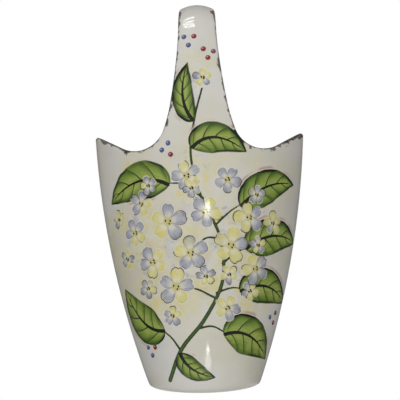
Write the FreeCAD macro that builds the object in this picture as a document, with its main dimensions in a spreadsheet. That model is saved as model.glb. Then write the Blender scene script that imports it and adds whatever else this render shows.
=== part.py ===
import FreeCAD, Part
import math
import os
import Sketcher

# A hanging wall vase of glazed clay, built from four slabs that are luted together:
# a bowed front wall with a scalloped rim and two ears, a flat back wall with a tall tongue,
# a floor with a raised key, and a strap that arches from the front wall over to the back tongue.
# Millimetres. X runs to the right, Y into the wall and Z up. The back face lies at Y = 0.
# The origin is the middle of the nail hole on the back face.

# Every driving size of the vase: its name and its value.
SIZES = (
    # The outline seen from the front.
    ("foot_half_width", 51.0),
    ("ear_half_width", 97.3),
    ("ear_height", 236.6),
    ("side_bulge", 9.3),
    ("scallop_drop", 17.3),
    ("scallop_radius", 27.0),
    ("flank_radius", 150.0),
    ("root_half_width", 25.2),
    ("root_rise", 23.4),
    # The bow of the front wall seen from the side and from above.
    ("foot_depth", 46.0),
    ("ear_depth", 72.0),
    ("depth_bulge", 7.1),
    ("foot_corner", 25.0),
    ("ear_corner", 32.0),
    # The slabs.
    ("wall", 5.6),
    ("back_thickness", 5.6),
    ("floor_thickness", 9.0),
    ("rim_round", 2.4),
    ("foot_round", 6.0),
    ("back_round", 2.4),
    # The key of the floor, which stands inside the walls.
    ("key_height", 4.0),
    ("key_clearance", 0.3),
    # The strap, which rises from its root to its crown.
    ("strap_rise", 92.0),
    ("arch_radius", 30.0),
    ("strap_thickness", 6.2),
    ("strap_crown_radius", 52.0),
    ("landing_crown_radius", 500.0),
    ("strap_half_width", 16.9),
    ("crown_half_width", 16.2),
    ("landing_half_width", 17.0),
    # The hole that the nail goes through, below the landing of the strap.
    ("nail_hole_diameter", 8.0),
    ("nail_drop", 22.0),
    # How far every cut runs past what it cuts.
    ("overrun", 6.0),
)

# Where the scallop is lowest, as a share of the way from the root of the strap to the ear.
SCALLOP_PLACE_SHARE = 0.441

# How many steps the levels of the front wall, the rise of the strap and its arch are drawn in.
WALL_STEPS = 5
RISE_STEPS = 6
ARCH_STEPS = 7

# How fast the strap narrows from its root: 1 is a straight taper, more is faster at first.
TAPER_POWER = 1.6

# How late the arch flattens from its crown to its landing: 1 is evenly, more is later.
FLATTEN_POWER = 3

# The most that an edge may be rounded, as a share of the thinner slab.
ROUND_LIMIT_SHARE = 0.46

# How near a point has to lie to a line or a plane to count as on it.
NEAR = 0.01

# A tilt in degrees that a strap section has until the sheet sets it.
FIRST_TILT = -1.0


def make_sheet(doc):
    """Write the driving sizes into a sheet, one named cell each."""
    sheet = doc.addObject("Spreadsheet::Sheet", "sizes")
    for row, (alias, value) in enumerate(SIZES, start=1):
        sheet.set("A%d" % row, alias)
        sheet.set("B%d" % row, str(value))
        sheet.setAlias("B%d" % row, alias)
    doc.recompute()
    return sheet


def derive(doc, kind, name, expression):
    """Keep a value that follows from the driving sizes, under a name of its own."""
    doc.derived.addProperty("App::Property" + kind, name, "Derived")
    doc.derived.setExpression(name, expression)


def blend(start, end, share):
    """An expression that goes from one value to another with a share."""
    return "(%s + (%s - %s) * %s)" % (start, end, start, share)


def half_width_at(level):
    """Half the width of the vase at a level: a straight flare and a shallow bulge."""
    share = "((%s) / sizes.ear_height)" % level
    flare = "(sizes.ear_half_width - sizes.foot_half_width) * %s" % share
    bulge = "4 * sizes.side_bulge * %s * (1 - %s)" % (share, share)
    return "(sizes.foot_half_width + %s + %s)" % (flare, bulge)


def depth_at(level):
    """How far the front of the vase stands from the wall at a level."""
    share = "((%s) / sizes.ear_height)" % level
    flare = "(sizes.ear_depth - sizes.foot_depth) * %s" % share
    bulge = "4 * sizes.depth_bulge * %s * (1 - %s)" % (share, share)
    return "(sizes.foot_depth + %s + %s)" % (flare, bulge)


def corner_at(level):
    """The radius of the corner between the side and the front at a level."""
    share = "((%s) / sizes.ear_height)" % level
    return "(sizes.foot_corner + (sizes.ear_corner - sizes.foot_corner) * %s)" % share


def front_radius_at(level):
    """The radius of the bowed front at a level, which touches both corners."""
    reach = "(%s - %s)" % (half_width_at(level), corner_at(level))
    bow = "(%s - sizes.back_thickness)" % depth_at(level)
    corner = corner_at(level)
    rise = "(%s * %s + %s * %s - %s * %s)" % (reach, reach, bow, bow, corner, corner)
    return "(%s / (2 * (%s - %s)))" % (rise, bow, corner)


def derive_values(doc):
    """Work out what several pieces share."""
    doc.addObject("App::VarSet", "derived")
    root = "derived.root_level"
    derive(doc, "Float", "root_level", "sizes.ear_height + sizes.root_rise")
    derive(doc, "Float", "arch_level", "derived.root_level + sizes.strap_rise - sizes.arch_radius")
    derive(doc, "Float", "nail_level", "derived.arch_level - sizes.nail_drop")
    scallop_place = blend("sizes.root_half_width", "sizes.ear_half_width", SCALLOP_PLACE_SHARE)
    derive(doc, "Float", "scallop_place", scallop_place)
    derive(doc, "Float", "scallop_level", "sizes.ear_height - sizes.scallop_drop")
    derive(doc, "Float", "root_depth", depth_at(root))
    derive(doc, "Float", "root_crown_radius", front_radius_at(root))
    flare = "(sizes.ear_depth - sizes.foot_depth) / sizes.ear_height"
    turn = "4 * sizes.depth_bulge * (1 - 2 * derived.root_level / sizes.ear_height) / sizes.ear_height"
    derive(doc, "Angle", "root_lean", "-atan(%s + %s)" % (flare, turn))
    derive(doc, "Float", "arch_run", "derived.root_depth - sizes.arch_radius")
    derive(doc, "Float", "arch_rise", "derived.arch_level - derived.root_level")
    reach = "derived.arch_run * derived.arch_run + derived.arch_rise * derived.arch_rise"
    gap = "derived.arch_run * cos(derived.root_lean) - derived.arch_rise * sin(derived.root_lean)"
    radius = "(%s - sizes.arch_radius * sizes.arch_radius) / (2 * (%s - sizes.arch_radius))" % (reach, gap)
    derive(doc, "Float", "rise_radius", radius)
    run = "(derived.rise_radius * cos(derived.root_lean) - derived.arch_run)"
    rise = "(derived.arch_rise + derived.rise_radius * sin(derived.root_lean))"
    derive(doc, "Angle", "arch_start", "atan(%s / %s)" % (rise, run))
    limit = "%s * min(sizes.wall; sizes.back_thickness)" % ROUND_LIMIT_SHARE
    derive(doc, "Float", "rim_round_used", "min(sizes.rim_round; %s)" % limit)
    derive(doc, "Float", "back_round_used", "min(sizes.back_round; %s)" % limit)


def number(doc, expression):
    """The value of an expression as a plain number, angles in degrees."""
    value = doc.sizes.evalExpression(expression)
    return value if isinstance(value, (int, float)) else value.Value


def new_body(doc, name):
    """A piece with its own name, placed so that the nail hole is the origin."""
    body = doc.addObject("PartDesign::Body", name)
    body.Label = name
    body.setExpression("Placement.Base.z", "-derived.nail_level")
    return body


def new_sketch(body, name, role):
    """A sketch on one of the body's own origin planes."""
    plane = [feature for feature in body.Origin.OriginFeatures if feature.Role == role][0]
    sketch = body.newObject("Sketcher::SketchObject", name)
    sketch.AttachmentSupport = (plane, [""])
    sketch.MapMode = "FlatFace"
    return sketch


def measure(sketch, name, kind, where, expression):
    """Give a sketch a named dimension that follows the sheet."""
    value = number(sketch.Document, expression)
    index = sketch.addConstraint(Sketcher.Constraint(kind, *where, value))
    sketch.renameConstraint(index, name)
    sketch.setExpression("Constraints." + name, expression)


def place(sketch, name, geometry, point, across, along):
    """Hold a point of a sketch at named distances from its origin."""
    measure(sketch, name + "_x", "DistanceX", (geometry, point), across)
    measure(sketch, name + "_y", "DistanceY", (geometry, point), along)


def line(start, end):
    return Part.LineSegment(FreeCAD.Vector(*start), FreeCAD.Vector(*end))


def arc(centre, radius, start_angle, end_angle):
    """An arc that turns anticlockwise from its start to its end."""
    circle = Part.Circle(FreeCAD.Vector(*centre), FreeCAD.Vector(0, 0, 1), radius)
    return Part.ArcOfCircle(circle, start_angle, end_angle)


def plan_section(body, name, level, inset, spring, back):
    """The plan of the vase at one level, set in from its outside.

    The corners spring square from the line where they meet the back wall, and the bowed front
    touches both. The section is closed along the back line, which may lie behind that line.
    """
    doc = body.Document
    sketch = new_sketch(body, name, "XY_Plane")
    sketch.setExpression("AttachmentOffset.Base.z", level)
    centre_x = "%s - %s" % (half_width_at(level), corner_at(level))
    side_x = "%s - %s" % (half_width_at(level), inset)
    corner_radius = "%s - %s" % (corner_at(level), inset)
    front_radius = "%s - %s" % (front_radius_at(level), inset)
    reach = number(doc, centre_x)
    edge = number(doc, side_x)
    corner = number(doc, corner_radius)
    front = number(doc, front_radius)
    start = number(doc, spring)
    end = number(doc, back)
    front_y = start + math.sqrt((front - corner) ** 2 - reach ** 2)
    meet = math.atan2(front_y - start, reach)

    left = sketch.addGeometry(arc((-reach, start, 0), corner, -math.pi, meet - math.pi), False)
    bow = sketch.addGeometry(arc((0, front_y, 0), front, meet - math.pi, -meet), False)
    right = sketch.addGeometry(arc((reach, start, 0), corner, -meet, 0), False)
    sketch.addConstraint(Sketcher.Constraint("Tangent", left, 2, bow, 1))
    sketch.addConstraint(Sketcher.Constraint("Tangent", bow, 2, right, 1))
    sketch.addConstraint(Sketcher.Constraint("Equal", left, right))
    sketch.addConstraint(Sketcher.Constraint("Symmetric", left, 3, right, 3, -2))
    place(sketch, "corner", right, 3, centre_x, spring)
    measure(sketch, "corner_radius", "Radius", (right,), corner_radius)
    measure(sketch, "front_radius", "Radius", (bow,), front_radius)
    measure(sketch, "right_spring", "DistanceY", (right, 2), spring)
    measure(sketch, "left_spring", "DistanceY", (left, 1), spring)

    if spring == back:
        close = sketch.addGeometry(line((edge, start, 0), (-edge, start, 0)), False)
        sketch.addConstraint(Sketcher.Constraint("Coincident", right, 2, close, 1))
        sketch.addConstraint(Sketcher.Constraint("Coincident", close, 2, left, 1))
        return sketch
    right_side = sketch.addGeometry(line((edge, start, 0), (edge, end, 0)), False)
    close = sketch.addGeometry(line((edge, end, 0), (-edge, end, 0)), False)
    left_side = sketch.addGeometry(line((-edge, end, 0), (-edge, start, 0)), False)
    sketch.addConstraint(Sketcher.Constraint("Coincident", right, 2, right_side, 1))
    sketch.addConstraint(Sketcher.Constraint("Coincident", right_side, 2, close, 1))
    sketch.addConstraint(Sketcher.Constraint("Coincident", close, 2, left_side, 1))
    sketch.addConstraint(Sketcher.Constraint("Coincident", left_side, 2, left, 1))
    sketch.addConstraint(Sketcher.Constraint("Vertical", right_side))
    sketch.addConstraint(Sketcher.Constraint("Vertical", left_side))
    sketch.addConstraint(Sketcher.Constraint("Horizontal", close))
    measure(sketch, "back_line", "DistanceY", (right_side, 2), back)
    return sketch


def loft(body, kind, name, sections):
    """A smooth solid through the sections, added to the body or cut out of it."""
    feature = body.newObject("PartDesign::" + kind, name)
    feature.Profile = sections[0]
    feature.Sections = sections[1:]
    feature.Document.recompute()
    return feature


def meeting_circle(point, radius, other_centre, other_radius):
    """Centre of a circle through a point that holds a smaller circle against its inside."""
    toward = (other_centre[0] - point[0], other_centre[1] - point[1])
    apart = math.hypot(*toward)
    inner = radius - other_radius
    along = (radius ** 2 - inner ** 2 + apart ** 2) / (2 * apart)
    aside = math.sqrt(radius ** 2 - along ** 2)
    unit = (toward[0] / apart, toward[1] / apart)
    return (
        point[0] + along * unit[0] - aside * unit[1],
        point[1] + along * unit[1] + aside * unit[0],
    )


def draw_rim(sketch, tip):
    """Draw the right half of the rim: the flank of the strap, the scallop and the rise to the ear.

    The rise runs on through the ear to the tip, which the caller gives as a half width.
    Returns the flank, the rise, the tip and the middle of the flank's circle.
    """
    doc = sketch.Document
    root = (number(doc, "sizes.root_half_width"), number(doc, "derived.root_level"))
    radius = number(doc, "sizes.scallop_radius")
    low = number(doc, "derived.scallop_level")
    scallop_centre = (number(doc, "derived.scallop_place"), low + radius)
    flank_radius = number(doc, "sizes.flank_radius")
    flank_centre = meeting_circle(root, flank_radius, scallop_centre, radius)
    ear = (number(doc, "sizes.ear_half_width"), number(doc, "sizes.ear_height"))

    turn = 2 * math.pi
    at_root = math.atan2(root[1] - flank_centre[1], root[0] - flank_centre[0]) % turn
    across = scallop_centre[0] - flank_centre[0]
    along = scallop_centre[1] - flank_centre[1]
    at_scallop = math.atan2(along, across) % turn
    to_ear = (ear[0] - scallop_centre[0], ear[1] - scallop_centre[1])
    spread = math.acos(radius / math.hypot(*to_ear))
    at_rise = (math.atan2(to_ear[1], to_ear[0]) - spread) % turn
    foot_of_rise = (
        scallop_centre[0] + radius * math.cos(at_rise),
        scallop_centre[1] + radius * math.sin(at_rise),
    )
    tip_x = number(doc, tip)
    slope = (ear[1] - foot_of_rise[1]) / (ear[0] - foot_of_rise[0])
    tip_y = ear[1] + slope * (tip_x - ear[0])

    flank = sketch.addGeometry(arc((*flank_centre, 0), flank_radius, at_root, at_scallop), False)
    scallop = sketch.addGeometry(arc((*scallop_centre, 0), radius, at_scallop, at_rise), False)
    rise = sketch.addGeometry(line((*foot_of_rise, 0), (tip_x, tip_y, 0)), False)
    sketch.addConstraint(Sketcher.Constraint("Tangent", flank, 2, scallop, 1))
    sketch.addConstraint(Sketcher.Constraint("Tangent", scallop, 2, rise, 1))
    place(sketch, "root", flank, 1, "sizes.root_half_width", "derived.root_level")
    measure(sketch, "flank_radius", "Radius", (flank,), "sizes.flank_radius")
    scallop_height = "derived.scallop_level + sizes.scallop_radius"
    place(sketch, "scallop", scallop, 3, "derived.scallop_place", scallop_height)
    measure(sketch, "scallop_radius", "Radius", (scallop,), "sizes.scallop_radius")
    mark = sketch.addGeometry(Part.Point(FreeCAD.Vector(*ear, 0)), True)
    place(sketch, "ear", mark, 1, "sizes.ear_half_width", "sizes.ear_height")
    if tip == "sizes.ear_half_width":
        sketch.addConstraint(Sketcher.Constraint("Coincident", mark, 1, rise, 2))
    else:
        sketch.addConstraint(Sketcher.Constraint("PointOnObject", mark, 1, rise))
        measure(sketch, "tip", "DistanceX", (rise, 2), tip)
    return flank, rise, (tip_x, tip_y), flank_centre


def touching_arc(start, centre, end):
    """An arc from start to end that goes on smoothly from a circle with the given centre.

    Returns the arc and the numbers of its points at the start and at the end.
    """
    away = math.hypot(centre[0] - start[0], centre[1] - start[1])
    normal = ((centre[0] - start[0]) / away, (centre[1] - start[1]) / away)
    step = (end[0] - start[0], end[1] - start[1])
    offset = normal[0] * step[0] + normal[1] * step[1]
    reach = (step[0] ** 2 + step[1] ** 2) / (2 * offset)
    middle = (start[0] + reach * normal[0], start[1] + reach * normal[1])
    from_start = math.atan2(start[1] - middle[1], start[0] - middle[0])
    from_end = math.atan2(end[1] - middle[1], end[0] - middle[0])
    if offset > 0:
        return arc((*middle, 0), abs(reach), from_end, from_start), 2, 1
    return arc((*middle, 0), abs(reach), from_start, from_end), 1, 2


def through(body, kind, name, sketch):
    """Cut a sketch right through the body, to both sides of its plane."""
    feature = body.newObject("PartDesign::" + kind, name)
    feature.Profile = sketch
    feature.Type = "ThroughAll"
    feature.SideType = "Symmetric"
    feature.Document.recompute()
    return feature


def mirrored(body, name, feature):
    """Repeat a feature on the left half of the piece."""
    plane = [item for item in body.Origin.OriginFeatures if item.Role == "YZ_Plane"][0]
    mirror = body.newObject("PartDesign::Mirrored", name)
    mirror.Originals = [feature]
    mirror.MirrorPlane = (plane, [""])
    body.Tip = mirror
    feature.Document.recompute()
    return mirror


def edge_points(edge):
    """The ends and the middle of an edge."""
    first, last = edge.ParameterRange
    return [edge.valueAt(first), edge.valueAt((first + last) / 2), edge.valueAt(last)]


def round_edges(body, name, radius, chosen):
    """Round every edge of the body whose points all pass a test."""
    base = body.Tip
    names = []
    for index, edge in enumerate(base.Shape.Edges, start=1):
        if edge.Length > NEAR and chosen(edge_points(edge)):
            names.append("Edge%d" % index)
    fillet = body.newObject("PartDesign::Fillet", name)
    fillet.Base = (base, names)
    fillet.setExpression("Radius", radius)
    body.Document.recompute()
    return fillet


def lies_on(sketch, point):
    """Whether a point of either half of the piece lies on a sketch, seen from the front."""
    mark = Part.Vertex(abs(point.x), 0, point.z)
    return mark.distToShape(sketch.Shape)[0] < NEAR


def make_front_wall(doc):
    """The bowed shell with its scalloped rim, its ears and the root of the strap."""
    body = new_body(doc, "front_wall")
    rise = "(derived.root_level - sizes.floor_thickness)"
    spring = "-sizes.back_thickness"
    outside = []
    inside = []
    behind = "sizes.overrun - sizes.back_thickness"
    for step in range(WALL_STEPS + 1):
        level = "(sizes.floor_thickness + %s * %d / %d)" % (rise, step, WALL_STEPS)
        outside.append(plan_section(body, "outside_%d" % step, level, "0", spring, spring))
        inside.append(plan_section(body, "inside_%d" % step, level, "sizes.wall", spring, behind))
    loft(body, "AdditiveLoft", "bowed_block", outside)
    loft(body, "SubtractiveLoft", "hollow", inside)

    cut = new_sketch(body, "rim_cut", "XZ_Plane")
    past_ear = "sizes.ear_half_width + sizes.overrun"
    past_root = "derived.root_level + sizes.overrun"
    flank, rise_line, tip, _ = draw_rim(cut, past_ear)
    root = (number(doc, "sizes.root_half_width"), number(doc, "derived.root_level"))
    top = number(doc, past_root)
    riser = cut.addGeometry(line((tip[0], tip[1], 0), (tip[0], top, 0)), False)
    cover = cut.addGeometry(line((tip[0], top, 0), (root[0], top, 0)), False)
    drop = cut.addGeometry(line((root[0], top, 0), (root[0], root[1], 0)), False)
    cut.addConstraint(Sketcher.Constraint("Coincident", rise_line, 2, riser, 1))
    cut.addConstraint(Sketcher.Constraint("Coincident", riser, 2, cover, 1))
    cut.addConstraint(Sketcher.Constraint("Coincident", cover, 2, drop, 1))
    cut.addConstraint(Sketcher.Constraint("Coincident", drop, 2, flank, 1))
    cut.addConstraint(Sketcher.Constraint("Vertical", riser))
    cut.addConstraint(Sketcher.Constraint("Vertical", drop))
    cut.addConstraint(Sketcher.Constraint("Horizontal", cover))
    measure(cut, "top", "DistanceY", (cover, 2), past_root)
    doc.recompute()
    pocket = through(body, "Pocket", "right_scallop", cut)
    mirrored(body, "left_scallop", pocket)

    joint = -number(doc, "sizes.back_thickness")

    def rim_edge(points):
        on_rim = all(lies_on(cut, point) for point in points)
        return on_rim and any(point.y < joint - NEAR for point in points)

    round_edges(body, "rim_edges", "derived.rim_round_used", rim_edge)
    return body


def make_back_wall(doc):
    """The flat slab behind, with the same rim, the tall tongue and the nail hole."""
    body = new_body(doc, "back_wall")
    outline = new_sketch(body, "outline", "XZ_Plane")
    flank, rise_line, ear, flank_centre = draw_rim(outline, "sizes.ear_half_width")
    foot = "sizes.floor_thickness"
    middle = "(sizes.floor_thickness + sizes.ear_height) / 2"
    foot_x = number(doc, half_width_at(foot))
    foot_y = number(doc, foot)
    mid_x = number(doc, half_width_at(middle))
    mid_y = number(doc, middle)
    top_x = number(doc, "sizes.landing_half_width")
    top_y = number(doc, "derived.arch_level")
    root = (number(doc, "sizes.root_half_width"), number(doc, "derived.root_level"))

    through_points = (
        FreeCAD.Vector(foot_x, foot_y, 0),
        FreeCAD.Vector(mid_x, mid_y, 0),
        FreeCAD.Vector(ear[0], ear[1], 0),
    )
    side = outline.addGeometry(Part.Arc(*through_points), False)
    base = outline.addGeometry(line((0, foot_y, 0), (foot_x, foot_y, 0)), False)
    tongue_arc, at_root, at_top = touching_arc(root, flank_centre, (top_x, top_y))
    tongue = outline.addGeometry(tongue_arc, False)
    top = outline.addGeometry(line((top_x, top_y, 0), (0, top_y, 0)), False)
    middle_line = outline.addGeometry(line((0, top_y, 0), (0, foot_y, 0)), False)
    mark = outline.addGeometry(Part.Point(through_points[1]), True)
    outline.addConstraint(Sketcher.Constraint("Coincident", middle_line, 2, base, 1))
    outline.addConstraint(Sketcher.Constraint("Coincident", base, 2, side, 1))
    outline.addConstraint(Sketcher.Constraint("Coincident", side, 2, rise_line, 2))
    outline.addConstraint(Sketcher.Constraint("Tangent", flank, 1, tongue, at_root))
    outline.addConstraint(Sketcher.Constraint("Coincident", tongue, at_top, top, 1))
    outline.addConstraint(Sketcher.Constraint("Coincident", top, 2, middle_line, 1))
    outline.addConstraint(Sketcher.Constraint("Horizontal", base))
    outline.addConstraint(Sketcher.Constraint("Horizontal", top))
    outline.addConstraint(Sketcher.Constraint("PointOnObject", middle_line, 1, -2))
    outline.addConstraint(Sketcher.Constraint("PointOnObject", middle_line, 2, -2))
    place(outline, "foot", base, 2, half_width_at(foot), foot)
    place(outline, "middle", mark, 1, half_width_at(middle), middle)
    outline.addConstraint(Sketcher.Constraint("PointOnObject", mark, 1, side))
    place(outline, "landing", tongue, at_top, "sizes.landing_half_width", "derived.arch_level")
    doc.recompute()
    pad = body.newObject("PartDesign::Pad", "right_slab")
    pad.Profile = outline
    pad.setExpression("Length", "sizes.back_thickness")
    doc.recompute()
    mirrored(body, "left_slab", pad)

    hole = new_sketch(body, "nail_hole", "XZ_Plane")
    radius = number(doc, "sizes.nail_hole_diameter") / 2
    nail_y = number(doc, "derived.nail_level")
    circle = Part.Circle(FreeCAD.Vector(0, nail_y, 0), FreeCAD.Vector(0, 0, 1), radius)
    ring = hole.addGeometry(circle, False)
    hole.addConstraint(Sketcher.Constraint("PointOnObject", ring, 3, -2))
    measure(hole, "height", "DistanceY", (ring, 3), "derived.nail_level")
    measure(hole, "diameter", "Diameter", (ring,), "sizes.nail_hole_diameter")
    doc.recompute()
    through(body, "Pocket", "nail_bore", hole)

    ear_level = number(doc, "sizes.ear_height")
    scallop_level = number(doc, "derived.scallop_level")
    front = -number(doc, "sizes.back_thickness")

    def ear_corner(points):
        return all(abs(point.z - ear_level) < NEAR for point in points)

    def outline_edge(points, depth, lowest):
        flat = all(abs(point.y - depth) < NEAR for point in points)
        between = lowest < points[1].z < top_y - NEAR
        off_centre = abs(points[1].x) > NEAR
        in_hole = math.hypot(points[0].x, points[0].z - nail_y) < radius + NEAR
        return flat and between and off_centre and not in_hole

    def rear_edge(points):
        return outline_edge(points, 0, foot_y + NEAR)

    def mouth_edge(points):
        return outline_edge(points, front, scallop_level - NEAR)

    round_edges(body, "ear_corners", "derived.rim_round_used", ear_corner)
    round_edges(body, "rear_edges", "derived.back_round_used", rear_edge)
    round_edges(body, "mouth_edges", "derived.rim_round_used", mouth_edge)
    return body


def make_floor(doc):
    """The bottom slab, with a key that stands inside the walls."""
    body = new_body(doc, "floor")
    spring = "-sizes.back_thickness"
    top = "sizes.floor_thickness"
    slab = [
        plan_section(body, "underside", "0", "0", spring, "0"),
        plan_section(body, "seat", top, "0", spring, "0"),
    ]
    loft(body, "AdditiveLoft", "slab", slab)
    inset = "(sizes.wall + sizes.key_clearance)"
    line_of_key = "-(sizes.back_thickness + sizes.key_clearance)"
    crest = "(sizes.floor_thickness + sizes.key_height)"
    key = [
        plan_section(body, "key_foot", top, inset, line_of_key, line_of_key),
        plan_section(body, "key_top", crest, inset, line_of_key, line_of_key),
    ]
    loft(body, "AdditiveLoft", "key", key)

    seat_level = number(doc, "sizes.floor_thickness")

    def under_edge(points):
        low = all(abs(point.z) < NEAR for point in points)
        return low and any(point.y < -NEAR for point in points)

    def rear_edge(points):
        behind = all(abs(point.y) < NEAR for point in points)
        return behind and points[1].z < seat_level - NEAR

    round_edges(body, "under_edges", "sizes.foot_round", under_edge)
    round_edges(body, "rear_edges", "derived.back_round_used", rear_edge)
    return body


def strap_section(body, name, thickness, half_width, crown_radius, depth, level, tilt):
    """A crowned band with full round edges, on a plane square to the run of the strap."""
    doc = body.Document
    sketch = new_sketch(body, name, "XY_Plane")
    # The turn needs its axis before its angle can follow the sheet.
    turn = FreeCAD.Rotation(FreeCAD.Vector(1, 0, 0), FIRST_TILT)
    sketch.AttachmentOffset = FreeCAD.Placement(FreeCAD.Vector(0, 0, 0), turn)
    sketch.setExpression("AttachmentOffset.Base.y", depth)
    sketch.setExpression("AttachmentOffset.Base.z", level)
    sketch.setExpression("AttachmentOffset.Rotation.Angle", tilt)
    slab = number(doc, thickness)
    crown = number(doc, crown_radius)
    cap = slab / 2
    reach = number(doc, half_width) - cap
    ring = crown - cap
    swing = math.asin(reach / ring)
    rise = crown - ring * math.cos(swing)
    down = -math.pi / 2

    outer = sketch.addGeometry(arc((0, crown, 0), crown, down - swing, down + swing), False)
    inner = sketch.addGeometry(arc((0, crown, 0), crown - slab, down - swing, down + swing), False)
    right = sketch.addGeometry(arc((reach, rise, 0), cap, down + swing, down + swing + math.pi), False)
    left = sketch.addGeometry(arc((-reach, rise, 0), cap, down - swing - math.pi, down - swing), False)
    sketch.addConstraint(Sketcher.Constraint("Tangent", outer, 2, right, 1))
    sketch.addConstraint(Sketcher.Constraint("Tangent", right, 2, inner, 2))
    sketch.addConstraint(Sketcher.Constraint("Tangent", inner, 1, left, 1))
    sketch.addConstraint(Sketcher.Constraint("Tangent", left, 2, outer, 1))
    sketch.addConstraint(Sketcher.Constraint("Coincident", outer, 3, inner, 3))
    sketch.addConstraint(Sketcher.Constraint("PointOnObject", outer, 3, -2))
    sketch.addConstraint(Sketcher.Constraint("PointOnObject", -1, 1, outer))
    measure(sketch, "crown_radius", "Radius", (outer,), crown_radius)
    measure(sketch, "cap_radius", "Radius", (right,), "(%s) / 2" % thickness)
    measure(sketch, "reach", "DistanceX", (right, 3), "%s - (%s) / 2" % (half_width, thickness))
    measure(sketch, "left_reach", "DistanceX", (left, 3), "(%s) / 2 - %s" % (thickness, half_width))
    return sketch


def make_handle_strap(doc):
    """The strap, which rises from the front wall and arches over to the back tongue."""
    body = new_body(doc, "handle_strap")
    sections = [strap_section(
        body, "root", "sizes.wall", "sizes.root_half_width", "derived.root_crown_radius",
        "-derived.root_depth", "derived.root_level", "0",
    )]
    for step in range(1, RISE_STEPS):
        share = "(%d / %d)" % (step, RISE_STEPS)
        taper = "(1 - pow(1 - %s; %s))" % (share, TAPER_POWER)
        lean = blend("derived.root_lean", "derived.arch_start", share)
        depth = "derived.rise_radius * (cos(derived.root_lean) - cos(%s)) - derived.root_depth" % lean
        level = "derived.root_level + derived.rise_radius * (sin(%s) - sin(derived.root_lean))" % lean
        sections.append(strap_section(
            body, "rise_%d" % step,
            blend("sizes.wall", "sizes.strap_thickness", share),
            blend("sizes.root_half_width", "sizes.strap_half_width", taper),
            blend("derived.root_crown_radius", "sizes.strap_crown_radius", share),
            depth, level, "-" + lean,
        ))
    for step in range(ARCH_STEPS + 1):
        share = "(%d / %d)" % (step, ARCH_STEPS)
        flat = "pow(%s; %s)" % (share, FLATTEN_POWER)
        lean = blend("derived.arch_start", "180 deg", share)
        depth = "-sizes.arch_radius * (1 + cos(%s))" % lean
        level = "derived.arch_level + sizes.arch_radius * sin(%s)" % lean
        narrow = blend("sizes.strap_half_width", "sizes.crown_half_width", "min(1; 2 * %s)" % share)
        width = blend(narrow, "sizes.landing_half_width", "max(0; 2 * %s - 1)" % share)
        curve = blend("1 / sizes.strap_crown_radius", "1 / sizes.landing_crown_radius", flat)
        sections.append(strap_section(
            body, "arch_%d" % step,
            blend("sizes.strap_thickness", "sizes.back_thickness", share),
            width, "1 / " + curve,
            depth, level, "-" + lean,
        ))
    doc.recompute()
    loft(body, "AdditiveLoft", "strap", sections)
    return body


def check(doc, bodies):
    """Stop if anything failed to build."""
    for item in doc.Objects:
        if "Invalid" in item.State or "Error" in item.State:
            raise RuntimeError("%s failed: %s" % (item.Name, item.State))
    for body in bodies:
        if body.Shape.isNull() or not body.Shape.isValid() or len(body.Shape.Solids) != 1:
            raise RuntimeError("%s has no single valid solid" % body.Label)


def main():
    doc = FreeCAD.newDocument("hanging_wall_vase")
    make_sheet(doc)
    derive_values(doc)
    doc.recompute()
    bodies = [make_floor(doc), make_front_wall(doc), make_back_wall(doc), make_handle_strap(doc)]
    doc.recompute()
    check(doc, bodies)
    os.makedirs("parts", exist_ok=True)
    for body in bodies:
        body.Shape.exportStep(os.path.join("parts", body.Label + ".step"))
        box = body.Shape.BoundBox
        print(body.Label, "volume %.0f" % body.Shape.Volume, "faces", len(body.Shape.Faces), box)


main()
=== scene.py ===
import math

import bmesh
import bpy
import numpy as np
from mathutils import Matrix, Vector


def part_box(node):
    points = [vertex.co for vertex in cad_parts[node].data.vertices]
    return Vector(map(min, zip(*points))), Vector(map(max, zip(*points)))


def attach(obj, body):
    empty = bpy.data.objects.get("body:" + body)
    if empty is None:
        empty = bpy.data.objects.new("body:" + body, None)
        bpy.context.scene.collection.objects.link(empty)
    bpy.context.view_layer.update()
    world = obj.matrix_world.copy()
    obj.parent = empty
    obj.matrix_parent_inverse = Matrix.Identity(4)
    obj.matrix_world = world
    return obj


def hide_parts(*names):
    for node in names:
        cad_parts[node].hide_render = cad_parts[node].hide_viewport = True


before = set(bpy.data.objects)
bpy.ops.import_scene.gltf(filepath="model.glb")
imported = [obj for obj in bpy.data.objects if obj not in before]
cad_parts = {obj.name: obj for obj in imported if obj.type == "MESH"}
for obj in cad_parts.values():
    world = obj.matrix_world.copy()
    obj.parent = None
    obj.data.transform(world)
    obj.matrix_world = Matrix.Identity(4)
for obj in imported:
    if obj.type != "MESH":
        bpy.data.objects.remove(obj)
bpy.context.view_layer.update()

# The looks of a hanging wall vase: glossy cream glaze over four luted clay pieces, with a hand-painted
# branch of blossoms on its front. Metres, in the row's frame. A height is counted up from the foot.
# The painting is laid out in millimetres on the unrolled front: across from the middle line, then height.

NAIL_HEIGHT = -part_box("floor")[0].z

# The outline and the bow of the wall.
FOOT_HALF_WIDTH = 0.0510
EAR_HALF_WIDTH = 0.0973
EAR_HEIGHT = 0.2366
SIDE_BULGE = 0.0093
SCALLOP_DROP = 0.0173
SCALLOP_RADIUS = 0.0270
SCALLOP_PLACE_SHARE = 0.441
FLANK_RADIUS = 0.1500
ROOT_HALF_WIDTH = 0.0252
ROOT_HEIGHT = 0.2600
FOOT_DEPTH = 0.0460
EAR_DEPTH = 0.0720
DEPTH_BULGE = 0.0071
FOOT_CORNER = 0.0250
EAR_CORNER = 0.0320

# The slabs.
WALL = 0.0056
BACK_THICKNESS = 0.0056
FLOOR_THICKNESS = 0.0090
FOOT_ROUND = 0.0060
BACK_ROUND = 0.0024
KEY_HEIGHT = 0.0040
KEY_CLEARANCE = 0.0003
KEY_ROUND = 0.0008

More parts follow.
